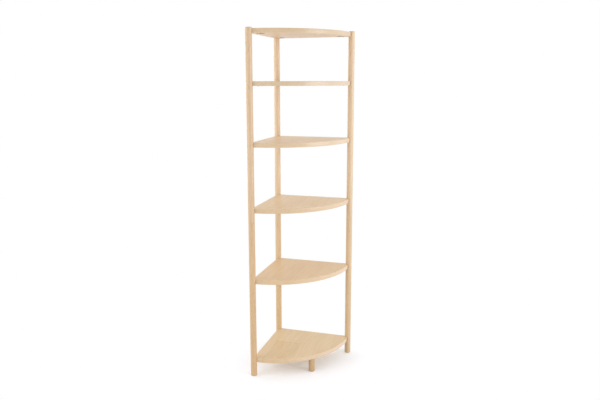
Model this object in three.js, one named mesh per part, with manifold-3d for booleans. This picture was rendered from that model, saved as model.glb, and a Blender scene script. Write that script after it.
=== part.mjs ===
// Corner shelf unit: three round maple posts, six quarter-round shelves notched into them,
// and a short round foot under the front of the bottom shelf.
// Millimetres, +Z up. The origin is on the floor, midway between the left and the right post.
// The two walls of the room's corner would stand along -X and +Y, so the shelves round off towards +X and -Y.
import * as THREE from 'three';
import { mergeVertices } from 'three/addons/utils/BufferGeometryUtils.js';
import Module from 'manifold-3d';

// Posts
const postSpacing = 400;
const postDiameter = 32;
const postEndRound = 4;
const postRise = 5; // how far the posts stand above the top shelf

// Shelves, and the clear heights between them from the floor up
const shelfThickness = 22;
const shelfEdgeRound = 1.5;
const cornerOverlap = 3; // how far the straight edges lie beyond the post axes
const floorClearance = 71;
const firstBay = 394;
const secondBay = 338;
const thirdBay = 299;
const fourthBay = 267;
const fifthBay = 219;

// Front foot
const footDiameter = 32;
const footEndRound = 3;
const footInset = 1; // from the arc edge to the foot's side
const footScrewDiameter = 8;
const footScrewBite = 26; // in the foot
const footScrewRoof = 6; // wood left above it in the shelf

// Bolts that pull each shelf corner into its notch, and the holes their nuts are reached through
const boltDiameter = 6;
const boltPointLength = 3;
const postSkin = 3; // wood left between a bolt's point and the back post's outside
const nutHoleDiameter = 22;
const nutHoleDistance = 70; // along the corner's bisector, from the shelf corner
const nutWidth = 10;
const nutThickness = 5;
const washerThickness = 5;
const washerWidth = 16;
const threadBeyondNut = 3;
const wrenchRoom = 1; // above the nut's corners

// Clearances
const fitGap = 0.3; // between a piece and what it sits in or on
const cutOverrun = 5; // how far a cutter runs past the face it opens

// Fineness of round forms, in faces
const postSides = 24;
const roundSteps = 3;
const arcSteps = 32;
const nutHoleSides = 18;
const boltSides = 10;
const nutSides = 6;

// Sizes that follow from those above
const postRadius = postDiameter / 2;
const shelfRadius = postSpacing + cornerOverlap;
const footHeight = floorClearance - fitGap;
const footRadius = footDiameter / 2;
const footDistance = shelfRadius - footInset - footRadius; // along the diagonal, from the back corner
const boltRadius = boltDiameter / 2;
const boltLevel = shelfThickness / 2; // above the shelf's underside
const boltBite = postRadius - Math.hypot(cornerOverlap, cornerOverlap) - postSkin;
const nutCornerRadius = nutWidth / Math.sqrt(3);
const nutHoleRadius = nutHoleDiameter / 2;
const nutHoleDepth = boltLevel + nutCornerRadius + wrenchRoom;
const washerFront = nutHoleDistance - nutHoleRadius + fitGap + washerThickness;
const boltEnd = washerFront + nutThickness + threadBeyondNut;

const colours = { maple: 0xe2c6a0, darkerMaple: 0xdfbf96, zincSteel: 0x9a9792 };

const wasm = await Module();
wasm.setup();

function finish(colour, roughness, metalness) {
  return new THREE.MeshStandardMaterial({ color: colour, roughness, metalness });
}

function toSolid(geometry) {
  const bare = geometry.clone();
  bare.deleteAttribute('normal');
  bare.deleteAttribute('uv');
  const merged = mergeVertices(bare);
  return new wasm.Manifold(new wasm.Mesh({
    numProp: 3,
    vertProperties: new Float32Array(merged.attributes.position.array),
    triVerts: new Uint32Array(merged.index.array),
  }));
}

function toGeometry(solid) {
  const mesh = solid.getMesh();
  const geometry = new THREE.BufferGeometry();
  geometry.setAttribute('position', new THREE.BufferAttribute(new Float32Array(mesh.vertProperties), 3));
  geometry.setIndex(new THREE.BufferAttribute(new Uint32Array(mesh.triVerts), 1));
  return geometry;
}

// Cuts every cutter out of a geometry.
function cut(geometry, cutters) {
  return toGeometry(cutters.reduce((solid, cutter) => solid.subtract(toSolid(cutter)), toSolid(geometry)));
}

// A turned piece: a profile of (radius, height) points turned about Z, from its lower end to its upper end.
function turned(points, sides) {
  return new THREE.LatheGeometry(points.map(([radius, height]) => new THREE.Vector2(radius, height)), sides)
    .rotateX(Math.PI / 2);
}

// A round bar standing on Z with its two ends rounded over.
function roundedBar(radius, length, endRound) {
  const lowerEnd = [];
  for (let step = 0; step <= roundSteps; step += 1) {
    const angle = (step / roundSteps) * (Math.PI / 2);
    lowerEnd.push([radius - endRound * (1 - Math.sin(angle)), endRound * (1 - Math.cos(angle))]);
  }
  const upperEnd = lowerEnd.map(([reach, rise]) => [reach, length - rise]).reverse();
  return turned([[0, 0], ...lowerEnd, ...upperEnd, [0, length]], postSides);
}

// A plain cylinder that lies along X between two distances.
function barAlongX(radius, from, to, sides) {
  return new THREE.CylinderGeometry(radius, radius, to - from, sides)
    .rotateZ(Math.PI / 2)
    .translate((from + to) / 2, 0, 0);
}

// A plain cylinder that stands on Z between two heights.
function barAlongZ(radius, from, to, sides) {
  return new THREE.CylinderGeometry(radius, radius, to - from, sides)
    .rotateX(Math.PI / 2)
    .translate(0, 0, (from + to) / 2);
}

function boxBetween(low, high) {
  const size = high.map((value, axis) => value - low[axis]);
  const middle = high.map((value, axis) => (value + low[axis]) / 2);
  return new THREE.BoxGeometry(...size).translate(...middle);
}

// The posts: where each stands, which way the shelves lie from it, and how far the edges of the shelf corners
// pass its axis.
const half = postSpacing / 2;
const posts = [
  { side: 'left', x: -half, y: -half, towardsX: 1, towardsY: 1, edgeX: -cornerOverlap, edgeY: 0 },
  { side: 'back', x: -half, y: half, towardsX: 1, towardsY: -1, edgeX: -cornerOverlap, edgeY: cornerOverlap },
  { side: 'right', x: half, y: half, towardsX: -1, towardsY: -1, edgeX: 0, edgeY: cornerOverlap },
];

// The shelves, from the floor up, with the height of each one's underside.
const shelves = [];
const bays = [
  ['bottom_shelf', floorClearance],
  ['second_shelf', firstBay],
  ['third_shelf', secondBay],
  ['fourth_shelf', thirdBay],
  ['fifth_shelf', fourthBay],
  ['top_shelf', fifthBay],
];
let height = 0;
for (const [name, bayBelow] of bays) {
  shelves.push({ name, underside: height + bayBelow });
  height += bayBelow + shelfThickness;
}
const postHeight = height + postRise;

// The frame of a bolt: its origin on the upright line through a shelf's corner point, X along the corner's
// bisector inwards.
function atCorner(post, lift) {
  const bisector = Math.atan2(post.towardsY, post.towardsX);
  return new THREE.Matrix4()
    .makeTranslation(post.x + post.edgeX, post.y + post.edgeY, lift)
    .multiply(new THREE.Matrix4().makeRotationZ(bisector));
}

// A post, with a square notch to its centre line for each shelf corner and a blind hole for each bolt.
function postGeometry(post) {
  const reach = postRadius + cutOverrun;
  const notch = (underside) => {
    const insideX = post.edgeX - post.towardsX * fitGap;
    const insideY = post.edgeY - post.towardsY * fitGap;
    const outsideX = post.towardsX * reach;
    const outsideY = post.towardsY * reach;
    return boxBetween(
      [Math.min(insideX, outsideX), Math.min(insideY, outsideY), underside - fitGap],
      [Math.max(insideX, outsideX), Math.max(insideY, outsideY), underside + shelfThickness + fitGap],
    );
  };
  const boltHole = (underside) => {
    const bar = barAlongX(boltRadius + fitGap, -boltBite - fitGap, boltRadius + cutOverrun, boltSides);
    return bar.applyMatrix4(atCorner(post, underside + boltLevel)).translate(-post.x, -post.y, 0);
  };
  const cutters = shelves.flatMap(({ underside }) => [notch(underside), boltHole(underside)]);
  return cut(roundedBar(postRadius, postHeight, postEndRound), cutters);
}

// A shelf, with its underside at height zero: a quarter disc about the back corner, its edges eased all
// round. Each corner is bored along its bisector for a bolt, up to a round hole in the underside for the nut.
function shelfGeometry(hasFoot) {
  const outline = new THREE.Shape();
  outline.moveTo(0, 0);
  outline.lineTo(0, -shelfRadius);
  outline.absarc(0, 0, shelfRadius, -Math.PI / 2, 0, false);
  outline.closePath();
  const board = new THREE.ExtrudeGeometry(outline, {
    depth: shelfThickness - 2 * shelfEdgeRound,
    curveSegments: arcSteps,
    bevelThickness: shelfEdgeRound,
    bevelSize: shelfEdgeRound,
    bevelOffset: -shelfEdgeRound,
    bevelSegments: roundSteps - 1,
  }).translate(-half - cornerOverlap, half + cornerOverlap, shelfEdgeRound);

  const cutters = posts.flatMap((post) => [
    barAlongX(boltRadius + fitGap, -cutOverrun, nutHoleDistance, boltSides)
      .applyMatrix4(atCorner(post, boltLevel)),
    barAlongZ(nutHoleRadius, -cutOverrun, nutHoleDepth, nutHoleSides)
      .translate(nutHoleDistance, 0, 0)
      .applyMatrix4(atCorner(post, 0)),
  ]);
  if (hasFoot) {
    const screwTop = shelfThickness - footScrewRoof + fitGap;
    cutters.push(atFoot(barAlongZ(footScrewDiameter / 2 + fitGap, -cutOverrun, screwTop, boltSides)));
  }
  return cut(board, cutters);
}

function atFoot(geometry) {
  const offset = footDistance / Math.SQRT2;
  return geometry.translate(-half - cornerOverlap + offset, half + cornerOverlap - offset, 0);
}

// A bolt with a tapered wood thread in the post and a plain end beyond its nut.
function boltGeometry() {
  const points = [
    [0, -boltBite],
    [boltRadius, -boltBite + boltPointLength],
    [boltRadius, boltEnd - boltRadius / 2],
    [boltRadius / 2, boltEnd],
    [0, boltEnd],
  ];
  return turned(points, boltSides).rotateY(Math.PI / 2);
}

// A hexagon nut with its half-moon washer, whose round back fits the nut hole's wall.
function nutGeometry() {
  const back = nutHoleDistance - nutHoleRadius;
  const disc = barAlongZ(nutHoleRadius - fitGap, -nutCornerRadius, nutCornerRadius, nutHoleSides)
    .translate(nutHoleDistance, 0, 0);
  const slab = boxBetween(
    [back - cutOverrun, -washerWidth / 2, -nutCornerRadius - cutOverrun],
    [washerFront, washerWidth / 2, nutCornerRadius + cutOverrun],
  );
  const hexagon = barAlongX(nutCornerRadius, washerFront - fitGap, washerFront + nutThickness, nutSides);
  const bore = barAlongX(boltRadius + fitGap, back - cutOverrun, boltEnd + cutOverrun, boltSides);
  return toGeometry(toSolid(disc).intersect(toSolid(slab)).add(toSolid(hexagon)).subtract(toSolid(bore)));
}

// A double-ended screw, half in the foot and half in the bottom shelf.
function footScrewGeometry() {
  const radius = footScrewDiameter / 2;
  const bottom = -footScrewBite;
  const top = shelfThickness - footScrewRoof;
  const points = [[0, bottom], [radius, bottom + radius], [radius, top - radius], [0, top]];
  return atFoot(turned(points, boltSides));
}

function footGeometry() {
  const pilot = barAlongZ(footScrewDiameter / 2 + fitGap, floorClearance - footScrewBite - fitGap,
    floorClearance + cutOverrun, boltSides);
  return atFoot(cut(roundedBar(footRadius, footHeight, footEndRound), [pilot]));
}

function named(name, geometry, material) {
  const mesh = new THREE.Mesh(geometry, material);
  mesh.name = name;
  return mesh;
}

const maple = finish(colours.maple, 0.5, 0);
const darkerMaple = finish(colours.darkerMaple, 0.5, 0);
const zincSteel = finish(colours.zincSteel, 0.4, 1);

const unit = new THREE.Group();

for (const post of posts) {
  const mesh = named(`${post.side}_post`, postGeometry(post), darkerMaple);
  mesh.position.set(post.x, post.y, 0);
  unit.add(mesh);
}

const bolt = boltGeometry();
const nut = nutGeometry();
for (const [level, { name, underside }] of shelves.entries()) {
  const shelf = new THREE.Group();
  shelf.position.z = underside;
  shelf.add(named(name, shelfGeometry(level === 0), maple));
  for (const post of posts) {
    const corner = new THREE.Group();
    corner.applyMatrix4(atCorner(post, boltLevel));
    corner.add(named(`${name}_${post.side}_bolt`, bolt, zincSteel));
    corner.add(named(`${name}_${post.side}_nut`, nut, zincSteel));
    shelf.add(corner);
  }
  unit.add(shelf);
}

const footScrew = named('front_foot_screw', footScrewGeometry(), zincSteel);
footScrew.position.z = floorClearance;
unit.add(named('front_foot', footGeometry(), maple), footScrew);

export default unit;
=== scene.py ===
"""Dresses the corner shelf unit: turned maple posts, maple boards, a round foot and steel fixings, in a plain
white studio."""

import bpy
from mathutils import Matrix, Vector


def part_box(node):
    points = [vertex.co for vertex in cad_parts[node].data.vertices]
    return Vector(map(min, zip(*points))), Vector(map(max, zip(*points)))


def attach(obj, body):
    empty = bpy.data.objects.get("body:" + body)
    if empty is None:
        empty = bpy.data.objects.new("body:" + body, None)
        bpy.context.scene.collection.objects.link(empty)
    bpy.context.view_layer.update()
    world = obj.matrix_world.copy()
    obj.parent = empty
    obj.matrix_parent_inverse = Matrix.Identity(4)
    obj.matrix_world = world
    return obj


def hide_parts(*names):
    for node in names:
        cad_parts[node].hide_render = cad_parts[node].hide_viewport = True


bl_info = {
    "name": "Corner shelf unit",
    "version": (1, 0, 0),
    "blender": (4, 5, 0),
    "location": "3D View > Sidebar > Shelf unit",
    "description": "Builds a maple corner shelf unit with its steel fixings, and a plain white studio",
    "category": "Add Mesh",
}

import math

import bmesh
import bpy
import numpy as np
from mathutils import Matrix, Vector

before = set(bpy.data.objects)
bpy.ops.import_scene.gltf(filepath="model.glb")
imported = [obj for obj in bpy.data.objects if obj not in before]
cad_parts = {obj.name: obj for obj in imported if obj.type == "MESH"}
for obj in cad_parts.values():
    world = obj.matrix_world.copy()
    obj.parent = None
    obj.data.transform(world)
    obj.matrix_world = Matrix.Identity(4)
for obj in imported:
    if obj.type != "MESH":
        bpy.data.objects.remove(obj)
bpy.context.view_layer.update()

MM = 0.001
SIDES = ("left", "back", "right")
SHELVES = ("bottom_shelf", "second_shelf", "third_shelf", "fourth_shelf", "fifth_shelf", "top_shelf")

# Each post, by the way in which the shelves lie from it, and how their straight edges pass its axis.
TOWARDS = {"left": (1, 1), "back": (1, -1), "right": (-1, -1)}
PASSES = {"left": (-1, 0), "back": (-1, 1), "right": (0, 1)}

# Each post's wood: where the tree's heart lies from its axis, in millimetres, how much of the main colour's
# red, green and blue it has all along, and how much of that its lower end has as painted shade, darker and
# more golden. The tint all along is partly the wood's own shade and partly painted light that makes up for
# the lamps, most on the back post.
POST_WOOD = {
    "left": ((38, -52), (0.99, 1.02, 1.07), (0.96, 0.9, 0.75)),
    "back": ((-44, 30), (1.12, 1.23, 1.38), (0.9, 0.84, 0.69)),
    "right": ((-60, -26), (1.05, 1.13, 1.23), (0.93, 0.89, 0.79)),
}

# Each board's wood: how far the tree's heart lies along X from the unit's middle and below the board, in
# millimetres, how much of the main colour's red, green and blue it has, and how much of that its sides have.
# The board's tint is partly its own shade and partly painted light that makes up for the lamps. Its sides'
# tint is painted light and shade on its edges.
BOARD_WOOD = {
    "bottom_shelf": ((-70, 58), (1.04, 1.06, 1.05), (1.03, 1.03, 1.11)),
    "second_shelf": ((110, 44), (1.04, 1.01, 0.97), (1.0, 1.02, 1.08)),
    "third_shelf": ((30, 66), (1.11, 1.13, 1.16), (0.91, 0.89, 0.89)),
    "fourth_shelf": ((-120, 50), (1.12, 1.12, 1.14), (0.89, 0.91, 0.95)),
    "fifth_shelf": ((75, 40), (1.02, 1.06, 1.18), (0.95, 0.94, 0.93)),
    "top_shelf": ((-20, 72), (1.12, 1.12, 1.21), (0.84, 0.85, 0.81)),
}

# Boards are glued up from staves. In millimetres: how wide a stave is, where the bottom board's first one
# begins, how much further along X they begin on each next board, and how much further along the grain each
# next board is cut, so that no two look alike.
STAVE_WIDTH, STAVE_START, STAVE_STEP, GRAIN_STEP = 128, -158, 47, 137

# The wood's soft patterns: how many millimetres their patches are across and along the grain, the detail of
# their noise and its seed. Real fibres are about 0.3 mm wide, and are drawn 3 mm wide so that they show
# across a room.
BEND = (260, 240, 0, 31)
PATTERNS = {
    "wander": (42, 310, 2, 0),
    "strength": (90, 300, 1, 3),
    "fibre": (3, 70, 2, 7),
    "streak": (8, 210, 2, 23),
    "fleck": (3.4, 24, 1, 11),
    "tone": (75, 420, 1, 19),
}

# Stock sizes of the fixings: the bolt and its thread, the nut, the half-moon washer and the lock screw. The
# bolt goes past the shelf's corner into the post, and past its nut.
BOLT_RADIUS, BOLT_IN_POST, BOLT_PAST_NUT = 3 * MM, 8.7 * MM, 8 * MM
THREAD_PITCH, THREAD_DEPTH = 1 * MM, 0.55 * MM
NUT_THICKNESS, NUT_WIDTH, NUT_CHAMFER = 5 * MM, 10 * MM, 0.8 * MM
WASHER_THICKNESS, WASHER_WIDTH, WASHER_HEIGHT, WASHER_EASE = 5 * MM, 16 * MM, 11.4 * MM, 0.6 * MM
SCREW_SHANK_RADIUS, SCREW_SHANK_LENGTH = 1.6 * MM, 6 * MM

# The camera, solved from the edges of the posts and shelves: its place in metres, its turn, tilt down and
# roll in radians, its focal length and sensor width in millimetres, and its shift.
CAMERA_PLACE = (0.8627, -2.9031, 1.4814)
CAMERA_TURN, CAMERA_TILT, CAMERA_ROLL = 0.29304, 0.18416, -0.00152
FOCAL_LENGTH, SENSOR_WIDTH, SHIFT_UP = 36.518, 36, -0.01

# How far from the unit's middle its shadow on the floor starts to fade out, and where it ends, in metres.
FADE_START, FADE_END = 0.24, 0.42

# Faces that meet at a sharper angle than this show an edge.
SHARP_ANGLE = math.radians(32)


def node_middle(node):
    """The middle of a CAD node's box."""
    low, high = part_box(node)
    return (low + high) / 2


POST_LOW, POST_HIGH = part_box("back_post")
BOARD_LOW, BOARD_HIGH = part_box("top_shelf")
FOOT_LOW, FOOT_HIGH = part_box("front_foot")
POST_PLACES = {side: node_middle(f"{side}_post").to_2d() for side in SIDES}


def linear(colour):
    """Turns an sRGB hex colour into linear red, green and blue."""
    parts = np.array([int(colour[i : i + 2], 16) for i in (1, 3, 5)]) / 255
    return tuple(np.where(parts <= 0.04045, parts / 12.92, ((parts + 0.055) / 1.055) ** 2.4).tolist())


class ShelfUnitSizes(bpy.types.PropertyGroup):
    """Sizes of the wooden pieces and of their fixings."""

    post_diameter: bpy.props.FloatProperty(
        name="Post diameter", description="Thickness of the round posts",
        default=POST_HIGH.x - POST_LOW.x, unit="LENGTH", precision=4)
    post_end_round: bpy.props.FloatProperty(
        name="Post end rounding", description="Radius of the round-over at both ends of a post",
        default=4 * MM, unit="LENGTH", precision=4)
    foot_end_round: bpy.props.FloatProperty(
        name="Foot end rounding", description="Radius of the round-over at both ends of the foot",
        default=3 * MM, unit="LENGTH", precision=4)
    edge_ease: bpy.props.FloatProperty(
        name="Shelf edge easing", description="Radius of the sanded edges of a shelf",
        default=1.5 * MM, unit="LENGTH", precision=4)
    corner_overlap: bpy.props.FloatProperty(
        name="Corner overlap", description="How far the straight shelf edges lie beyond the post axes",
        default=3 * MM, unit="LENGTH", precision=4)
    notch_gap: bpy.props.FloatProperty(
        name="Notch gap", description="Clearance above and below a shelf corner in the notch that holds it",
        default=0.3 * MM, unit="LENGTH", precision=5)
    wall_gap: bpy.props.FloatProperty(
        name="Notch wall gap", description="Clearance between a notch's walls and the shelf's straight edges",
        default=0.8 * MM, unit="LENGTH", precision=5)
    nut_hole_diameter: bpy.props.FloatProperty(
        name="Nut hole diameter", description="Width of the round holes under each shelf corner",
        default=22 * MM, unit="LENGTH", precision=4)
    nut_hole_depth: bpy.props.FloatProperty(
        name="Nut hole depth", description="Depth of the round holes under each shelf corner",
        default=17.8 * MM, unit="LENGTH", precision=4)
    nut_hole_distance: bpy.props.FloatProperty(
        name="Nut hole distance", description="From a shelf's corner to the middle of its nut hole",
        default=70 * MM, unit="LENGTH", precision=4)
    cap_diameter: bpy.props.FloatProperty(
        name="Cover cap diameter", description="Width of the caps that close the nut holes",
        default=28 * MM, unit="LENGTH", precision=4)
    cap_height: bpy.props.FloatProperty(
        name="Cover cap height", description="How far a cover cap stands out of the wood",
        default=0.6 * MM, unit="LENGTH", precision=4)
    screw_distance: bpy.props.FloatProperty(
        name="Lock screw distance", description="From a shelf's corner to the screw that locks its bolt",
        default=48 * MM, unit="LENGTH", precision=4)
    screw_head_diameter: bpy.props.FloatProperty(
        name="Lock screw head", description="Width of the lock screw's head",
        default=6 * MM, unit="LENGTH", precision=4)
    screw_head_height: bpy.props.FloatProperty(
        name="Lock screw height", description="How far the lock screw's head stands out of the wood",
        default=1.8 * MM, unit="LENGTH", precision=4)


class ShelfUnitLooks(bpy.types.PropertyGroup):
    """Colours of the wood and of the metal."""

    shelf_light: bpy.props.FloatVectorProperty(
        name="Shelf wood", description="Main colour of the maple boards",
        default=linear("#E3CAA7"), subtype="COLOR", min=0, max=1)
    shelf_dark: bpy.props.FloatVectorProperty(
        name="Shelf growth lines", description="Colour of the growth lines in the boards",
        default=linear("#CEAE83"), subtype="COLOR", min=0, max=1)
    post_light: bpy.props.FloatVectorProperty(
        name="Post wood", description="Main colour of the turned maple",
        default=linear("#DFC19E"), subtype="COLOR", min=0, max=1)
    post_dark: bpy.props.FloatVectorProperty(
        name="Post growth lines", description="Colour of the growth lines in the turned maple",
        default=linear("#C9A276"), subtype="COLOR", min=0, max=1)
    steel: bpy.props.FloatVectorProperty(
        name="Zinc plate", description="Colour of the bolts, nuts and screws",
        default=linear("#9A9792"), subtype="COLOR", min=0, max=1)
    # Painted highlight: the boards' sides that face along X are mixed towards this paler colour, most at the
    # right end of the round edge, which faces the key light.
    edge: bpy.props.FloatVectorProperty(
        name="Shelf edges", description="Colour of the boards' long edges, where growth lines run edge on",
        default=linear("#DDC5A7"), subtype="COLOR", min=0, max=1)
    # The cover caps' dark brown is partly painted shade: it stands for the shade inside the nut holes they
    # close.
    cap: bpy.props.FloatVectorProperty(
        name="Cover caps", description="Colour of the caps that close the nut holes",
        default=linear("#7C6551"), subtype="COLOR", min=0, max=1)


class ShelfUnitStudio(bpy.types.PropertyGroup):
    """Light and floor of the studio."""

    surround: bpy.props.FloatProperty(
        name="Surround", description="Strength of the even white light from all round",
        default=0.73, min=0)
    key_power: bpy.props.FloatProperty(
        name="Key light", description="Power of the soft light on the right",
        default=35, min=0, unit="POWER")
    front_power: bpy.props.FloatProperty(
        name="Front light", description="Power of the soft light in front on the left",
        default=28, min=0, unit="POWER")
    left_power: bpy.props.FloatProperty(
        name="Left light", description="Power of the wide soft light behind on the left",
        default=20, min=0, unit="POWER")
    rim_power: bpy.props.FloatProperty(
        name="Rim light", description="Power of the soft light behind on the right",
        default=10, min=0, unit="POWER")
    floor_radius: bpy.props.FloatProperty(
        name="Floor radius", description="Radius of the round white floor",
        default=6, unit="LENGTH")


# Shapes. Each works out whole arrays of points, in metres.


def revolve(profile, sides):
    """Turns a profile of (radius, height) about Z: x is the radius times the cosine of the angle, and y is
    the radius times its sine."""
    radius, height = np.array(profile, float).T
    angle = np.arange(sides) * 2 * math.pi / sides
    x, y = np.outer(radius, np.cos(angle)), np.outer(radius, np.sin(angle))
    return np.stack([x, y, np.outer(height, np.ones(sides))], axis=-1)


def flat_ring(outline, height):
    """An outline in plan, all of it at one height."""
    return np.column_stack([outline, np.full(len(outline), height)])


def rounded_profile(radius, height, ease, steps=8):
    """A round bar's profile: at angle t of the round-over, the radius is short of full by ease times
    1 - sin t, and the height is ease times 1 - cos t, with the same upside down at the top."""
    t = np.linspace(0, math.pi / 2, steps)
    lower = np.stack([radius - ease * (1 - np.sin(t)), ease * (1 - np.cos(t))], axis=-1)
    upper = (lower * (1, -1) + (0, height))[::-1]
    return np.concatenate([[(0, 0)], lower, upper, [(0, height)]])


def notched_bar(radius, height, ease, notches, walls, towards, sides=96):
    """A round bar with square notches. Every ring has one point for each direction seen from a pole well
    inside the wood that stays. On a full ring the point lies on the circle. On a notched ring a point past
    both notch walls slides back along its direction to the first of them. Rings on the same level make a
    notch's floor and roof. The directions include the one through the walls' corner and those to where the
    walls meet the circle."""
    towards, walls = np.array(towards, float), np.array(walls, float)
    behind_walls = 0.35 * radius
    pole = walls - towards * behind_walls
    corner = (walls - pole) / np.linalg.norm(walls - pole)
    reach = -pole @ corner + math.sqrt((pole @ corner) ** 2 - pole @ pole + radius**2)
    meets = [math.atan2(*(pole + corner * reach)[::-1])]
    for axis in (0, 1):
        side = math.sqrt(radius**2 - walls[axis] ** 2) * towards[1 - axis]
        point = (walls[0], side) if axis == 0 else (side, walls[1])
        meets.append(math.atan2(point[1], point[0]))
    even = np.arange(sides) * 2 * math.pi / sides
    angle = np.unique(np.round(np.mod([*even, *meets], 2 * math.pi), 9))
    circle = radius * np.stack([np.cos(angle), np.sin(angle)], axis=-1)

    share = (walls - pole) / (circle - pole)
    past = np.all((circle - walls) * towards > -1e-9, axis=1)
    slid = pole + np.max(share, axis=1)[:, None] * (circle - pole)
    cut = np.where(past[:, None], slid, circle)

    ends = rounded_profile(radius, height, ease)
    half = len(ends) // 2
    levels = [(r / radius, h, circle) for r, h in ends[:half]]
    for low, high in notches:
        levels += [(1, low, circle), (1, low, cut), (1, high, cut), (1, high, circle)]
    levels += [(r / radius, h, circle) for r, h in ends[half:]]
    return np.stack([flat_ring(outline * scale, level) for scale, level, outline in levels])


def quarter_disc(radius, inset, straight_steps=10, arc_steps=96):
    """A quarter disc's outline moved inwards by an inset d: straight edges at d from the two sides, and an
    arc of radius less d. At the inset radius / (1 + root 2) all of it meets in one point."""
    arc = max(radius - inset, 0)
    end = math.sqrt(max(arc**2 - inset**2, 0))
    first = math.atan2(inset, max(end, inset))
    along = np.linspace(inset, max(end, inset), straight_steps, endpoint=False)
    turn = -np.linspace(first, math.pi / 2 - first, arc_steps, endpoint=False)
    back = -np.append(along[1:], max(end, inset))[::-1]
    right_edge = np.stack([along, np.full(straight_steps, -inset)], axis=-1)
    curve = arc * np.stack([np.cos(turn), np.sin(turn)], axis=-1)
    left_edge = np.stack([np.full(straight_steps, inset), back], axis=-1)
    return np.concatenate([right_edge, curve, left_edge])


def board_rings(radius, thickness, ease, steps=6):
    """A quarter-round board from the middle of its underside round its edge to the middle of its top. The
    inset and the height follow a quarter circle of radius ease at the lower and at the upper edge. A ring
    just inside each eased edge keeps the flat faces flat."""
    t = np.linspace(0, math.pi / 2, steps)
    inset, height = ease * (1 - np.sin(t)), ease * (1 - np.cos(t))
    middle, inside = radius / (1 + math.sqrt(2)), 1.3 * ease
    insets = np.concatenate([[middle, inside], inset, inset[::-1], [inside, middle]])
    heights = np.concatenate([[0, 0], height, thickness - height[::-1], [thickness, thickness]])
    return np.stack([flat_ring(quarter_disc(radius, d), h) for d, h in zip(insets, heights)])


def threaded_bar(start, thread_start, end, radius, pitch, depth, tip=0.7, sides=24):
    """A bolt on the X axis. Over the thread the radius drops by depth times the size of 2 f - 1, where f is
    the fraction left of x / pitch less the angle's share of a turn. This makes a ridge that climbs one pitch
    a turn. Over the last pitch the bolt tapers to the tip's share of its radius."""
    step = pitch / 8
    x = np.append(start, np.arange(thread_start, end + step / 2, step))
    turn = np.arange(sides) / sides
    ridge = np.abs(2 * np.mod(x[:, None] / pitch - turn, 1) - 1)
    taper = tip + (1 - tip) * np.clip((end - x[:, None]) / pitch, 0, 1)
    r = np.where(x[:, None] < thread_start + step / 2, radius, radius - depth * ridge) * taper
    angle = turn * 2 * math.pi
    rings = np.stack([np.broadcast_to(x[:, None], r.shape), r * np.cos(angle), r * np.sin(angle)], axis=-1)
    return np.concatenate([rings[:1] * (1, 0, 0), rings, rings[-1:] * (1, 0, 0)])


def hexagon_nut(start, thickness, width, bore, chamfer, sides=72):
    """A nut on the X axis. The distance to a hexagon's side is width / 2 over the cosine of the angle from
    that side's middle, and near each face a cone cuts its corners off. The rings run out along the nut and
    back through its bore."""
    turn = np.arange(sides) * 2 * math.pi / sides
    side = width / 2 / np.cos(np.mod(turn + math.pi / 6, math.pi / 3) - math.pi / 6)
    corner, face = width / math.sqrt(3), 0.98 * width / 2
    rows = [(0, bore), (0, face), (chamfer, corner), (thickness - chamfer, corner), (thickness, face),
            (thickness, bore), (0, bore)]
    rings = []
    for offset, limit in rows:
        r = np.minimum(side, limit)
        rings.append(np.column_stack([np.full(sides, start + offset), r * np.cos(turn), r * np.sin(turn)]))
    return np.stack(rings)


def half_moon(front, hole_middle, back_radius, width, height, ease, arc_steps=16):
    """A washer with a flat front and a round back that fits the hole's wall: its outline in plan is carried
    up and down, and drawn in towards its middle at the eased edges."""
    reach = math.asin(width / 2 / back_radius)
    angle = math.pi + np.linspace(-reach, reach, arc_steps)
    back = np.stack([hole_middle + back_radius * np.cos(angle), -back_radius * np.sin(angle)], axis=-1)
    outline = np.concatenate([back, [(front, width / 2), (front, -width / 2)]])[::-1]
    middle = outline.mean(axis=0)
    half, eased = height / 2, 1 - 2 * ease / width
    rows = [(-half, 0), (-half, eased), (ease - half, 1), (half - ease, 1), (half, eased), (half, 0)]
    return np.stack([flat_ring(middle + (outline - middle) * scale, z) for z, scale in rows])


def cover_cap(radius, height, plug_radius, edge=0.4 * MM, crown_height=0.15 * MM):
    """A push-in cap, by its profile of (radius, height) with the wood's face at height 0: a low crown that
    draws back towards the rim by the square of the radius, a rim rounded on a quarter circle, and a hollow
    plug in the hole."""
    out = np.linspace(0, radius - edge, 6)
    crown = np.stack([out, crown_height * (out / radius) ** 2 - height], axis=-1)
    t = np.linspace(0, math.pi / 2, 6)
    rim = np.stack([radius - edge * (1 - np.sin(t)), crown[-1, 1] + edge * (1 - np.cos(t))], axis=-1)
    seat, tip, end, floor = -0.02 * MM, plug_radius - 0.3 * MM, 4 * MM, 0.4 * MM
    inner = plug_radius - 1.5 * MM
    plug = [(radius, seat), (plug_radius, seat), (tip, end), (inner, end + 0.2 * MM),
            (inner, floor), (0, floor)]
    return revolve(np.concatenate([crown, rim, plug]), 64)


def round_head(radius, height, shank_radius, shank_length, sides=40):
    """A small screw, by its profile of (radius, height) with the wood's face at height 0. Its head is a full
    dome: at angle t it has the head's radius times the cosine of t to the power 0.6, and the head's height
    times the sine of t to the power 0.9."""
    t = np.linspace(0, math.pi / 2, 9)[1:]
    dome = np.stack([radius * np.cos(t) ** 0.6, -height * np.sin(t) ** 0.9], axis=-1)
    shank = [(0, shank_length), (shank_radius, shank_length), (shank_radius, 0), (radius, 0)]
    return revolve(np.concatenate([shank, dome]), sides)


def head_slot(angle, length=12 * MM, width=0.8 * MM, floor=-0.6 * MM, past=-9 * MM):
    """The bar to cut out of a screw's head as its slot: a rectangle in plan, turned by an angle, from well
    past the head to the slot's floor."""
    spin = np.array([[math.cos(angle), math.sin(angle)], [-math.sin(angle), math.cos(angle)]])
    outline = np.array([(-1, -1), (1, -1), (1, 1), (-1, 1)]) * (length / 2, width / 2) @ spin
    rows = [(past, 0), (past, 1), (floor, 1), (floor, 0)]
    return np.stack([flat_ring(outline * scale, z) for z, scale in rows])


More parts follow.
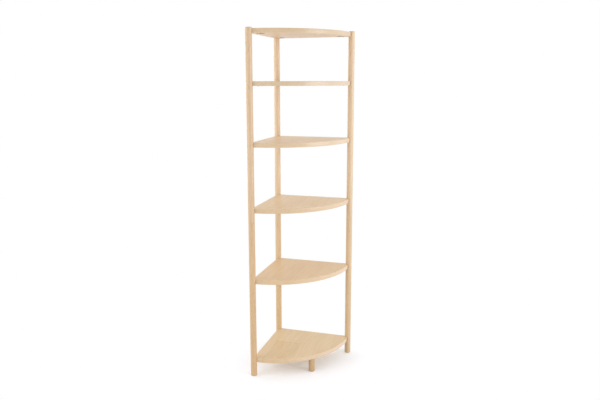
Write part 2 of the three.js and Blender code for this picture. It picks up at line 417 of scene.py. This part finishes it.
def at_corner(rings, side, underside, sizes):
    """Moves points from a corner's own frame, which has X along the corner's bisector inwards and its origin
    under the shelf's corner point, to their place on the unit."""
    place = np.array(POST_PLACES[side]) + np.array(PASSES[side]) * sizes.corner_overlap
    towards = np.array(TOWARDS[side]) / math.sqrt(2)
    along, across, up = np.moveaxis(rings, -1, 0)
    x = place[0] + along * towards[0] - across * towards[1]
    y = place[1] + along * towards[1] + across * towards[0]
    return np.stack([x, y, up + underside], axis=-1)


# Meshes


def skin(rings):
    """Joins neighbouring rings of points with four-sided faces, and closes an end ring that is one point."""
    count, around = rings.shape[:2]
    index = np.arange(count * around).reshape(count, around)
    turned = np.roll(index, -1, axis=1)
    faces = np.stack([index[:-1], turned[:-1], turned[1:], index[1:]], axis=-1).reshape(-1, 4)
    mesh = bpy.data.meshes.new("skin")
    mesh.from_pydata(rings.reshape(-1, 3).tolist(), [], faces.tolist())
    work = bmesh.new()
    work.from_mesh(mesh)
    bmesh.ops.remove_doubles(work, verts=work.verts, dist=1e-7)
    bmesh.ops.dissolve_degenerate(work, edges=work.edges, dist=1e-7)
    bmesh.ops.recalc_face_normals(work, faces=work.faces)
    work.to_mesh(mesh)
    work.free()
    return mesh


def piece(name, mesh, material, slot, *nodes):
    """Puts a finished mesh in the scene, as a piece that rides on the unit and stands for CAD nodes."""
    mesh.name = name
    mesh.materials.clear()
    mesh.materials.append(material)
    mesh.shade_smooth()
    mesh.set_sharp_from_angle(angle=SHARP_ANGLE)
    made = bpy.data.objects.new(name, mesh)
    bpy.context.scene.collection.objects.link(made)
    if nodes:
        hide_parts(*nodes)
    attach(made, "root")


def pierce(mesh, cutters):
    """Cuts closed meshes out of a mesh and returns what is left."""
    body = bpy.data.objects.new("body", mesh)
    tools = [bpy.data.objects.new("tool", cutter) for cutter in cutters]
    for item in (body, *tools):
        bpy.context.scene.collection.objects.link(item)
    for tool in tools:
        step = body.modifiers.new("Cut", "BOOLEAN")
        step.operation, step.solver, step.object = "DIFFERENCE", "EXACT", tool
    left = bpy.data.meshes.new_from_object(body.evaluated_get(bpy.context.evaluated_depsgraph_get()))
    for item in (body, *tools):
        bpy.data.objects.remove(item)
    return left


# Materials


def add(tree, kind, inputs=None, **settings):
    """Adds a node with its settings and returns its outputs. An input that is given an output is linked to
    it, and others are set."""
    node = tree.nodes.new(kind)
    for key, value in settings.items():
        setattr(node, key, value)
    for key, value in (inputs or {}).items():
        if isinstance(value, bpy.types.NodeSocket):
            tree.links.new(value, node.inputs[key])
        else:
            node.inputs[key].default_value = value
    return node.outputs


def new_material(name):
    """Makes an empty material, and returns it with its node tree."""
    material = bpy.data.materials.new(name)
    material.use_nodes = True
    material.node_tree.nodes.clear()
    return material, material.node_tree


def grain_patches(tree, place, across, along, detail, seed):
    """Soft noise about zero, in patches that are so many millimetres across and along the grain."""
    scale = (1 / across, 1 / across, 1 / along)
    scaled = add(tree, "ShaderNodeVectorMath", {0: place, 1: scale}, operation="MULTIPLY")[0]
    noise = add(tree, "ShaderNodeTexNoise", {"Vector": scaled, "W": seed, "Scale": 1.0, "Detail": detail},
                noise_dimensions="4D")[0]
    return add(tree, "ShaderNodeMath", {0: noise, 1: 0.5}, operation="SUBTRACT")[0]


def growth_lines(tree, fibres, wander, heart, ring):
    """Lines where the growth rings meet the surface: the distance from the heart plus the wander goes into a
    sine of one wave a ring, which is brought to between 0 and 1 and raised to the third power, so that the
    lines are thin."""
    from_heart = {0: fibres, 1: (1, 1, 0), 2: (-heart[0], -heart[1], 0)}
    flat = add(tree, "ShaderNodeVectorMath", from_heart, operation="MULTIPLY_ADD")[0]
    shell = add(tree, "ShaderNodeVectorMath", {0: flat}, operation="LENGTH")["Value"]
    moved = add(tree, "ShaderNodeMath", {0: shell, 1: wander}, operation="ADD")[0]
    phase = add(tree, "ShaderNodeMath", {0: moved, 1: 2 * math.pi / ring}, operation="MULTIPLY")[0]
    wave = add(tree, "ShaderNodeMath", {0: phase}, operation="SINE")[0]
    share = add(tree, "ShaderNodeMath", {0: wave, 1: 0.5, 2: 0.5}, operation="MULTIPLY_ADD")[0]
    return add(tree, "ShaderNodeMath", {0: share, 1: 3.0}, operation="POWER")[0]


def stave_chance(tree, own, width, first):
    """A number from -0.5 to 0.5 for each stave of a glued-up board, drawn from its place in the row."""
    across = add(tree, "ShaderNodeSeparateXYZ", {0: own})["X"]
    from_first = add(tree, "ShaderNodeMath", {0: across, 1: first}, operation="SUBTRACT")[0]
    staves = add(tree, "ShaderNodeMath", {0: from_first, 1: width}, operation="DIVIDE")[0]
    number = add(tree, "ShaderNodeMath", {0: staves}, operation="FLOOR")[0]
    seed = add(tree, "ShaderNodeMath", {0: number, 1: 0.5}, operation="ADD")[0]
    drawn = add(tree, "ShaderNodeTexWhiteNoise", {"W": seed}, noise_dimensions="1D")["Value"]
    return add(tree, "ShaderNodeMath", {0: drawn, 1: 0.5}, operation="SUBTRACT")[0]


def end_joint(tree, own, left, right, level):
    """Where two lengths of wood meet end to end in one stave: the strength of the glue line, which fades to
    the right, and 1 on the length in front of it. The glue line is a hair wide on a real board, and is drawn
    5 mm wide so that it shows."""
    place = add(tree, "ShaderNodeSeparateXYZ", {0: own})
    past_left = add(tree, "ShaderNodeMath", {0: place["X"], 1: left}, operation="GREATER_THAN")[0]
    short_of_right = add(tree, "ShaderNodeMath", {0: place["X"], 1: right}, operation="LESS_THAN")[0]
    inside = add(tree, "ShaderNodeMath", {0: past_left, 1: short_of_right}, operation="MULTIPLY")[0]
    fade = add(tree, "ShaderNodeMapRange", {"Value": place["X"], 1: left, 2: right, 3: 1.5, 4: 0.7})[0]
    faded = add(tree, "ShaderNodeMath", {0: inside, 1: fade}, operation="MULTIPLY")[0]
    on_line = add(tree, "ShaderNodeMath", {0: place["Z"], 1: level, 2: 2.5}, operation="COMPARE")[0]
    glue = add(tree, "ShaderNodeMath", {0: faded, 1: on_line}, operation="MULTIPLY")[0]
    in_front = add(tree, "ShaderNodeMath", {0: place["Z"], 1: level}, operation="LESS_THAN")[0]
    nearer = add(tree, "ShaderNodeMath", {0: inside, 1: in_front}, operation="MULTIPLY")[0]
    return glue, nearer


def side_gloss_and_painted_light(tree, normal, colour, sheen, edge, tint):
    """Painted highlight: a board's sides that face along X, among them the right end of its round edge, which
    faces the key light, are mixed towards a paler, plainer colour. All its sides are tinted with painted
    light and shade, and their lacquer is glossier. The square of the normal's X says how much painted
    highlight a point takes, and 1 less the square of its Z how much of a side it is."""
    parts = add(tree, "ShaderNodeSeparateXYZ", {0: normal})
    painted_highlight_share = add(tree, "ShaderNodeMath", {0: parts["X"], 1: parts["X"]}, operation="MULTIPLY")[0]
    colour = add(tree, "ShaderNodeMix", {"Factor": painted_highlight_share, 6: colour, 7: (*edge, 1)}, data_type="RGBA")[2]
    face = add(tree, "ShaderNodeMath", {0: parts["Z"], 1: parts["Z"]}, operation="MULTIPLY")[0]
    side = add(tree, "ShaderNodeMath", {0: 1.0, 1: face}, operation="SUBTRACT")[0]
    colour = add(tree, "ShaderNodeMix", {"Factor": side, 6: colour, 7: (*tint, 1)}, data_type="RGBA",
                 blend_type="MULTIPLY")[2]
    sheen = add(tree, "ShaderNodeMath", {0: side, 1: -0.14, 2: sheen}, operation="MULTIPLY_ADD")[0]
    return colour, sheen


def painted_shade_below(tree, place, colour, tint):
    """Painted shade: below 1.2 m the wood is made darker and more golden towards the floor, by a tint."""
    height = add(tree, "ShaderNodeSeparateXYZ", {0: place})["Z"]
    low = add(tree, "ShaderNodeMapRange", {"Value": height, 1: 1.2, 2: 0.0},
              interpolation_type="SMOOTHSTEP")[0]
    return add(tree, "ShaderNodeMix", {"Factor": low, 6: colour, 7: (*tint, 1)}, data_type="RGBA",
               blend_type="MULTIPLY")[2]


def lacquered_maple(name, light, dark, centre, turn, heart, ring, rough, flecks=0.2, ends=0.3, low_painted_shade=None,
                    edge=None, sides=None, stave=None, seam=None):
    """Hard maple, planed or turned, sanded and given clear satin lacquer: pale honey wood with soft growth
    lines, faint silky fibre streaks and short darker flecks, and an even, quiet sheen.

    Patterns are laid out in millimetres from the centre, with Z along the grain once the piece is turned
    about X. A growth ring is a round shell, so many millimetres thick, about the tree's heart, which lies
    beside the piece. So rings show as long lines and arches on the faces and as curved bands on the ends.
    Flecks and ends say how much darker those are. A turned blank may have painted shade at its lower end,
    darker and more golden, by a tint. A wide board has a paler colour for its long edges, which is a painted
    highlight, a tint for all its sides, which is painted light and shade, and staves, given by their width
    and where the first begins, each with its own run of the rings. A stave may have a joint, given by the
    stave's left and right side and the joint's level."""
    material, tree = new_material(name)
    surface = add(tree, "ShaderNodeTexCoord")
    own = add(tree, "ShaderNodeMapping", {"Vector": surface["Object"], "Location": centre,
                                          "Rotation": (turn, 0, 0), "Scale": (1 / MM,) * 3})[0]

    # The tree didn't grow quite straight, so fibres and rings bend together, by up to about 15 mm.
    bend = grain_patches(tree, own, *BEND)
    aside = add(tree, "ShaderNodeMath", {0: bend, 1: 50.0}, operation="MULTIPLY")[0]
    bent = add(tree, "ShaderNodeCombineXYZ", {"X": aside})[0]
    fibres = add(tree, "ShaderNodeVectorMath", {0: own, 1: bent}, operation="ADD")[0]
    soft = {pattern: grain_patches(tree, fibres, *size) for pattern, size in PATTERNS.items()}

    # Rings also wander by themselves, by up to about 10 mm, and each stave's lie up to 45 mm elsewhere.
    wander = add(tree, "ShaderNodeMath", {0: soft["wander"], 1: 34.0}, operation="MULTIPLY")[0]
    if stave:
        chance = stave_chance(tree, own, *stave)
        wander = add(tree, "ShaderNodeMath", {0: chance, 1: 90.0, 2: wander}, operation="MULTIPLY_ADD")[0]
    line = growth_lines(tree, fibres, wander, heart, ring)
    strength = add(tree, "ShaderNodeMapRange", {"Value": soft["strength"], 1: -0.15, 2: 0.15, 3: 0.35},
                   interpolation_type="SMOOTHSTEP")[0]
    shown = add(tree, "ShaderNodeMath", {0: line, 1: strength}, operation="MULTIPLY")[0]
    fleck = add(tree, "ShaderNodeMapRange", {"Value": soft["fleck"], 1: 0.1, 2: 0.22})[0]

    # Sawn ends of the grain drink more lacquer and are darker.
    grain = (0, math.sin(turn), math.cos(turn))
    facing = add(tree, "ShaderNodeVectorMath", {0: surface["Normal"], 1: grain},
                 operation="DOT_PRODUCT")["Value"]
    end = add(tree, "ShaderNodeMath", {0: facing, 1: facing}, operation="MULTIPLY")[0]

    # The wood starts a little way from the light colour to the dark one, and each pattern takes it on.
    depth = 0.22
    darker = [(shown, 0.24), (soft["fibre"], 0.6), (soft["streak"], 0.85), (fleck, flecks),
              (soft["tone"], 0.5), (end, ends)]
    if stave:
        darker.append((chance, 0.22))
    if seam:
        glue, nearer = end_joint(tree, own, *seam)
        darker += [(nearer, 0.2), (glue, 1.0)]
    for pattern, share in darker:
        depth = add(tree, "ShaderNodeMath", {0: pattern, 1: share, 2: depth}, operation="MULTIPLY_ADD")[0]
    colour = add(tree, "ShaderNodeMix", {"Factor": depth, 6: (*light, 1), 7: (*dark, 1)}, data_type="RGBA")[2]
    sheen = add(tree, "ShaderNodeMapRange", {"Value": soft["fibre"], 1: -0.3, 2: 0.3, 3: rough - 0.05,
                                             4: rough + 0.05})[0]
    # Painted highlight and painted light on the boards' sides, and glossier lacquer there.
    if sides:
        colour, sheen = side_gloss_and_painted_light(tree, surface["Normal"], colour, sheen, edge, sides)
    # Painted shade: a post's lower end is made darker and more golden.
    if low_painted_shade:
        colour = painted_shade_below(tree, surface["Object"], colour, low_painted_shade)
    relief = add(tree, "ShaderNodeMath", {0: line, 1: 0.2, 2: soft["fibre"]}, operation="MULTIPLY_ADD")[0]
    pores = add(tree, "ShaderNodeBump", {"Height": relief, "Strength": 0.12, "Distance": 0.3 * MM})[0]
    shader = add(tree, "ShaderNodeBsdfPrincipled", {"Base Color": colour, "Roughness": sheen, "Normal": pores,
                                                    "IOR": 1.5})[0]
    add(tree, "ShaderNodeOutputMaterial", {"Surface": shader})
    return material


def finished_steel(name, colour, roughness):
    """Steel with a thin finish, such as zinc plate or black oxide, and the cover caps' dark brown, which is
    partly
    painted shade: a metal of the given colour, with faint cloudy patches of about 4 mm and a blurred gloss."""
    material, tree = new_material(name)
    place = add(tree, "ShaderNodeTexCoord")["Object"]
    cloud = add(tree, "ShaderNodeTexNoise", {"Vector": place, "Scale": 260.0, "Detail": 3.0})[0]
    dull = add(tree, "ShaderNodeMapRange", {"Value": cloud, 3: roughness - 0.07, 4: roughness + 0.09})[0]
    dark = [part * 0.82 for part in colour]
    shade = add(tree, "ShaderNodeMix", {"Factor": cloud, 6: (*dark, 1), 7: (*colour, 1)}, data_type="RGBA")[2]
    shader = add(tree, "ShaderNodeBsdfPrincipled", {"Base Color": shade, "Metallic": 1.0,
                                                    "Roughness": dull})[0]
    add(tree, "ShaderNodeOutputMaterial", {"Surface": shader})
    return material


def seen_directly(tree):
    """1 for rays from the camera, a mirror or glass, and 0 for the light that falls on things."""
    rays = add(tree, "ShaderNodeLightPath")
    seen = rays["Is Camera Ray"]
    for kind in ("Is Glossy Ray", "Is Transmission Ray"):
        seen = add(tree, "ShaderNodeMath", {0: seen, 1: rays[kind]}, operation="MAXIMUM")[0]
    return seen


def studio_floor(name):
    """Matt white studio board. The camera sees part of its light as an even glow that makes it paper white,
    so only the shadow under the unit shows. Further out the glow takes over and meets the surround."""
    material, tree = new_material(name)
    place = add(tree, "ShaderNodeTexCoord")["Object"]
    out = add(tree, "ShaderNodeVectorMath", {0: place}, operation="LENGTH")["Value"]
    outer = add(tree, "ShaderNodeMapRange", {"Value": out, 1: FADE_START, 2: FADE_END},
                interpolation_type="SMOOTHSTEP")[0]
    board = add(tree, "ShaderNodeBsdfDiffuse", {"Color": (*linear("#F3F3F3"), 1)})[0]
    bright_board = add(tree, "ShaderNodeBsdfDiffuse", {"Color": (*linear("#F8FAFF"), 1)})[0]
    glow = add(tree, "ShaderNodeEmission", {"Strength": 0.15})[0]
    white = add(tree, "ShaderNodeEmission", {"Strength": 1.0})[0]
    near = add(tree, "ShaderNodeAddShader", {0: bright_board, 1: glow})[0]
    shown = add(tree, "ShaderNodeMixShader", {0: outer, 1: near, 2: white})[0]
    shader = add(tree, "ShaderNodeMixShader", {0: seen_directly(tree), 1: board, 2: shown})[0]
    add(tree, "ShaderNodeOutputMaterial", {"Surface": shader})
    return material


# Operators


class SHELFUNIT_OT_posts(bpy.types.Operator):
    """Builds the three round posts with a notch for every shelf corner"""

    bl_idname = "shelfunit.posts"
    bl_label = "Posts"

    def execute(self, context):
        sizes, looks = context.scene.shelf_sizes, context.scene.shelf_looks
        boxes = [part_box(name) for name in SHELVES]
        levels = [(low.z - sizes.notch_gap, high.z + sizes.notch_gap) for low, high in boxes]
        for side in SIDES:
            towards, passes = np.array(TOWARDS[side]), np.array(PASSES[side])
            walls = passes * sizes.corner_overlap - towards * sizes.wall_gap
            rings = notched_bar(sizes.post_diameter / 2, POST_HIGH.z - POST_LOW.z, sizes.post_end_round,
                                levels, walls, towards)
            x, y = POST_PLACES[side]
            # The tint is partly painted light, and the lower end's tint is painted shade.
            heart, tint, low_painted_shade = POST_WOOD[side]
            wood = lacquered_maple(
                f"Turned maple, {side} post",
                np.array(looks.post_light) * tint, np.array(looks.post_dark) * tint,
                centre=(-x / MM, -y / MM, 0), turn=0, heart=heart, ring=6.5, rough=0.35,
                flecks=0.5, low_painted_shade=low_painted_shade)
            mesh = skin(rings + (x, y, POST_LOW.z))
            piece(f"{side}_post_turned", mesh, wood, "post_maple", f"{side}_post")
        return {"FINISHED"}


class SHELFUNIT_OT_boards(bpy.types.Operator):
    """Builds the six quarter-round shelves, bored from below for their nuts"""

    bl_idname = "shelfunit.boards"
    bl_label = "Shelves"

    def execute(self, context):
        sizes, looks = context.scene.shelf_sizes, context.scene.shelf_looks
        radius, chamfer, below = sizes.nut_hole_diameter / 2, 0.6 * MM, -5 * MM
        profile = [(0, below), (radius + chamfer, below), (radius + chamfer, 0), (radius, chamfer),
                   (radius, sizes.nut_hole_depth), (0, sizes.nut_hole_depth)]
        hole = revolve(profile, 64) + (sizes.nut_hole_distance, 0, 0)
        for number, name in enumerate(SHELVES):
            low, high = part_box(name)
            rings = board_rings(high.x - low.x, high.z - low.z, sizes.edge_ease) + (low.x, high.y, low.z)
            cutters = [skin(at_corner(hole, side, low.z, sizes)) for side in SIDES]
            heart, tint, sides = BOARD_WOOD[name]
            # Only the bottom board shows a joint, in its first stave, 30 mm along the grain from the middle.
            seam = (STAVE_START, STAVE_START + STAVE_WIDTH, 30) if name == "bottom_shelf" else None
            # The grain runs from the left post to the back post. A quarter turn about X lays it along Z.
            # The paler edge colour is a painted highlight, and the sides' tint is painted light and shade.
            wood = lacquered_maple(
                f"Maple board, {name.replace('_', ' ')}",
                np.array(looks.shelf_light) * tint, np.array(looks.shelf_dark) * tint,
                centre=(0, low.z / MM, GRAIN_STEP * number), turn=math.pi / 2, heart=heart, ring=5.5,
                rough=0.4, ends=0.12, edge=np.array(looks.edge) * tint, sides=sides,
                stave=(STAVE_WIDTH, STAVE_START + STAVE_STEP * number), seam=seam)
            piece(f"{name}_board", pierce(skin(rings), cutters), wood, "shelf_maple", name)
        return {"FINISHED"}


class SHELFUNIT_OT_foot(bpy.types.Operator):
    """Builds the short round foot under the bottom shelf"""

    bl_idname = "shelfunit.foot"
    bl_label = "Front foot"

    def execute(self, context):
        sizes, looks = context.scene.shelf_sizes, context.scene.shelf_looks
        middle = node_middle("front_foot")
        radius, height = (FOOT_HIGH.x - FOOT_LOW.x) / 2, FOOT_HIGH.z - FOOT_LOW.z
        rings = revolve(rounded_profile(radius, height, sizes.foot_end_round), 96)
        # Painted shade: the foot is darker and more golden than the posts, for the shade under the bottom
        # shelf where it stands.
        tint = (0.85, 0.82, 0.69)
        wood = lacquered_maple(
            "Turned maple, front foot", np.array(looks.post_light) * tint, np.array(looks.post_dark) * tint,
            centre=(-middle.x / MM, -middle.y / MM, 900), turn=0, heart=(50, 40), ring=6.5, rough=0.35,
            flecks=0.5)
        mesh = skin(rings + (middle.x, middle.y, FOOT_LOW.z))
        piece("front_foot_turned", mesh, wood, "foot_maple", "front_foot")
        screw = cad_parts["front_foot_screw"].data
        screw.materials.clear()
        screw.materials.append(finished_steel("Zinc-plated steel, foot screw", looks.steel, 0.36))
        return {"FINISHED"}


class SHELFUNIT_OT_fixings(bpy.types.Operator):
    """Builds the bolt, nut, washer, cover cap and lock screw of every shelf corner"""

    bl_idname = "shelfunit.fixings"
    bl_label = "Fixings"

    def execute(self, context):
        sizes, looks = context.scene.shelf_sizes, context.scene.shelf_looks
        zinc = finished_steel("Zinc-plated steel, bolts and nuts", looks.steel, 0.34)
        # The caps' dark brown is partly painted shade, for the shade inside the nut holes.
        cap_steel_painted_shade = finished_steel("Dark steel, cover caps, painted hole shade", looks.cap, 0.6)
        black = finished_steel("Black-oxide steel, lock screws", [part * 0.12 for part in looks.steel], 0.5)

        # Distances are from the shelf's corner. Nut, washer and bolt lie halfway up the board.
        hole, back = sizes.nut_hole_distance, sizes.nut_hole_diameter / 2 - sizes.notch_gap
        front = hole - back + WASHER_THICKNESS
        middle = (0, 0, (BOARD_HIGH.z - BOARD_LOW.z) / 2)
        nut = hexagon_nut(front, NUT_THICKNESS, NUT_WIDTH, BOLT_RADIUS, NUT_CHAMFER) + middle
        washer = half_moon(front, hole, back, WASHER_WIDTH, WASHER_HEIGHT, WASHER_EASE) + middle
        bolt = threaded_bar(-BOLT_IN_POST, hole - back, front + BOLT_PAST_NUT, BOLT_RADIUS, THREAD_PITCH,
                            THREAD_DEPTH) + middle
        cap = cover_cap(sizes.cap_diameter / 2, sizes.cap_height, back) + (hole, 0, 0)
        head = round_head(sizes.screw_head_diameter / 2, sizes.screw_head_height, SCREW_SHANK_RADIUS,
                          SCREW_SHANK_LENGTH)
        screw_place = (sizes.screw_distance, 0, 0)
        for name in SHELVES:
            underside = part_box(name)[0].z
            for number, side in enumerate(SIDES):
                for part, node, rings in (
                    ("nut_hexagon", "nut", nut),
                    ("nut_washer", "nut", washer),
                    ("bolt_threaded", "bolt", bolt),
                ):
                    mesh = skin(at_corner(rings, side, underside, sizes))
                    piece(f"{name}_{side}_{part}", mesh, zinc, "zinc_steel", f"{name}_{side}_{node}")
                mesh = skin(at_corner(cap, side, underside, sizes))
                piece(f"{name}_{side}_cover_cap", mesh, cap_steel_painted_shade, "zinc_steel")
                # Each screw of a shelf has its slot turned another way.
                slot = head_slot(0.6 + 0.8 * number)
                screw, cutter = (skin(at_corner(rings + screw_place, side, underside, sizes))
                                 for rings in (head, slot))
                piece(f"{name}_{side}_lock_screw", pierce(screw, [cutter]), black, "zinc_steel")
        return {"FINISHED"}


class SHELFUNIT_OT_studio(bpy.types.Operator):
    """Sets the white floor, the white surround, the soft lights and the camera"""

    bl_idname = "shelfunit.studio"
    bl_label = "Studio"

    def execute(self, context):
        studio, scene = context.scene.shelf_studio, context.scene
        sheet = skin(revolve([(radius, 0) for radius in (0, 0.5, 1.5, studio.floor_radius)], 96))
        if sheet.polygons[0].normal.z < 0:
            sheet.flip_normals()
        sheet.materials.append(studio_floor("Matt white board, studio floor"))
        floor = bpy.data.objects.new("studio_floor", sheet)
        scene.collection.objects.link(floor)

        scene.world = scene.world or bpy.data.worlds.new("Surround")
        scene.world.use_nodes = True
        tree = scene.world.node_tree
        tree.nodes.clear()
        seen = seen_directly(tree)
        strength = add(tree, "ShaderNodeMapRange", {"Value": seen, 3: studio.surround, 4: 1.0})[0]
        paper = add(tree, "ShaderNodeBackground", {"Color": (1, 1, 1, 1), "Strength": strength})[0]
        add(tree, "ShaderNodeOutputWorld", {"Surface": paper})

        # Each lamp's power, width, place and what it points at.
        for name, power, width, place, aim in (
            ("key_light", studio.key_power, 1.8, (3.1, -0.7, 1.4), (0, 0, 1.1)),
            ("front_light", studio.front_power, 2.0, (-2.4, -2.0, 1.5), (0, 0, 0.9)),
            ("left_light", studio.left_power, 2.4, (-2.75, 1.2, 1.6), (0, 0, 0.9)),
            ("rim_light", studio.rim_power, 2.6, (2.9, 1.5, 1.6), (0, 0, 0.9)),
        ):
            lamp = bpy.data.lights.new(name, "AREA")
            lamp.energy, lamp.size = power, width
            light = bpy.data.objects.new(name, lamp)
            turn = (Vector(aim) - Vector(place)).to_track_quat("-Z", "Y").to_matrix().to_4x4()
            light.matrix_world = Matrix.Translation(place) @ turn
            scene.collection.objects.link(light)

        lens = bpy.data.cameras.new("camera")
        lens.lens, lens.sensor_width, lens.shift_y = FOCAL_LENGTH, SENSOR_WIDTH, SHIFT_UP
        camera = bpy.data.objects.new("camera", lens)
        tilt = Matrix.Rotation(math.pi / 2 - CAMERA_TILT, 4, "X") @ Matrix.Rotation(CAMERA_ROLL, 4, "Z")
        camera.matrix_world = Matrix.Translation(CAMERA_PLACE) @ Matrix.Rotation(CAMERA_TURN, 4, "Z") @ tilt
        scene.collection.objects.link(camera)
        scene.camera = camera
        scene.view_settings.view_transform = "Standard"
        return {"FINISHED"}


class SHELFUNIT_PT_panel(bpy.types.Panel):
    """Lists the steps that build the unit"""

    bl_idname = "SHELFUNIT_PT_panel"
    bl_label = "Corner shelf unit"
    bl_space_type = "VIEW_3D"
    bl_region_type = "UI"
    bl_category = "Shelf unit"

    def draw(self, context):
        for step in OPERATORS:
            self.layout.operator(step.bl_idname)
        for group in ("shelf_sizes", "shelf_looks", "shelf_studio"):
            box = self.layout.box()
            values = getattr(context.scene, group)
            for key in values.__annotations__:
                box.prop(values, key)


OPERATORS = (
    SHELFUNIT_OT_posts,
    SHELFUNIT_OT_boards,
    SHELFUNIT_OT_foot,
    SHELFUNIT_OT_fixings,
    SHELFUNIT_OT_studio,
)
CLASSES = (ShelfUnitSizes, ShelfUnitLooks, ShelfUnitStudio, *OPERATORS, SHELFUNIT_PT_panel)


def register():
    for kind in CLASSES:
        bpy.utils.register_class(kind)
    bpy.types.Scene.shelf_sizes = bpy.props.PointerProperty(type=ShelfUnitSizes)
    bpy.types.Scene.shelf_looks = bpy.props.PointerProperty(type=ShelfUnitLooks)
    bpy.types.Scene.shelf_studio = bpy.props.PointerProperty(type=ShelfUnitStudio)


def unregister():
    del bpy.types.Scene.shelf_sizes, bpy.types.Scene.shelf_looks, bpy.types.Scene.shelf_studio
    for kind in reversed(CLASSES):
        bpy.utils.unregister_class(kind)


def main():
    register()
    bpy.ops.shelfunit.posts()
    bpy.ops.shelfunit.boards()
    bpy.ops.shelfunit.foot()
    bpy.ops.shelfunit.fixings()
    bpy.ops.shelfunit.studio()


if __name__ == "__main__":
    main()
